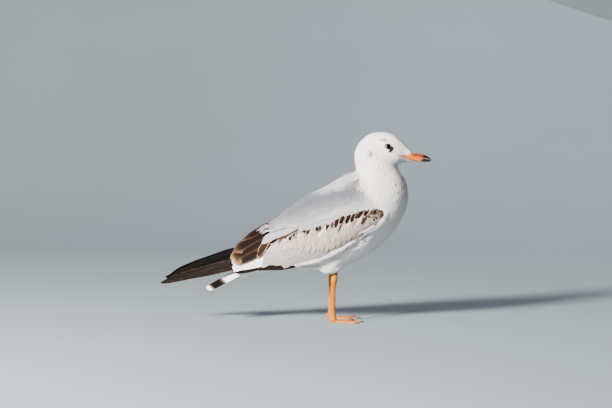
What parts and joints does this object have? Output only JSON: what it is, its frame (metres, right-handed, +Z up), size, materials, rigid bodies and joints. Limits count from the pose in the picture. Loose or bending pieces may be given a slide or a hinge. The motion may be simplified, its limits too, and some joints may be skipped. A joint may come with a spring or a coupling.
{
  "type": "black-headed gull",
  "caption": "Still life-size gull in first-winter plumage, standing on two webbed feet, neck drawn in, wings folded over the tail.",
  "frame": {"origin": "on the floor, under the middle of the bird's bounding box, between its feet and its tail", "axes": "+X towards the bill, +Y towards the bird's left side, +Z up"},
  "size_m": [0.3321, 0.0962, 0.231],
  "materials": {
    "white_feathers": "soft white plumage over the body",
    "body_feathers": "pale grey mantle, white breast and belly",
    "tail_feathers": "white, with a blackish band near the tip",
    "covert_feathers": "pale grey feathers with brown centres and buff fringes",
    "tertial_feathers": "dark brown with buff and white fringes",
    "primary_feathers": "blackish flight feathers",
    "bill_horn": "orange flesh, blackish towards the tip, slight gloss",
    "eye": "wet, nearly black",
    "leg_skin": "scaly orange skin",
    "claw_horn": "black horn"
  },
  "bodies": {
    "root": {"head": "white_feathers", "neck": "white_feathers", "trunk": "body_feathers", "tail": "tail_feathers", "bill_upper": "bill_horn", "bill_lower": "bill_horn", "wing_right_coverts": "covert_feathers", "wing_right_tertials": "tertial_feathers", "wing_right_primaries": "primary_feathers", "eye_right": "eye", "leg_right_thigh": "white_feathers", "leg_right_shank": "leg_skin", "leg_right_foot": "leg_skin", "leg_right_hind_toe": "leg_skin", "leg_right_claw_outer": "claw_horn", "leg_right_claw_middle": "claw_horn", "leg_right_claw_inner": "claw_horn", "wing_left_coverts": "covert_feathers", "wing_left_tertials": "tertial_feathers", "wing_left_primaries": "primary_feathers", "eye_left": "eye", "leg_left_thigh": "white_feathers", "leg_left_shank": "leg_skin", "leg_left_foot": "leg_skin", "leg_left_hind_toe": "leg_skin", "leg_left_claw_outer": "claw_horn", "leg_left_claw_middle": "claw_horn", "leg_left_claw_inner": "claw_horn"}
  },
  "joints": []
}
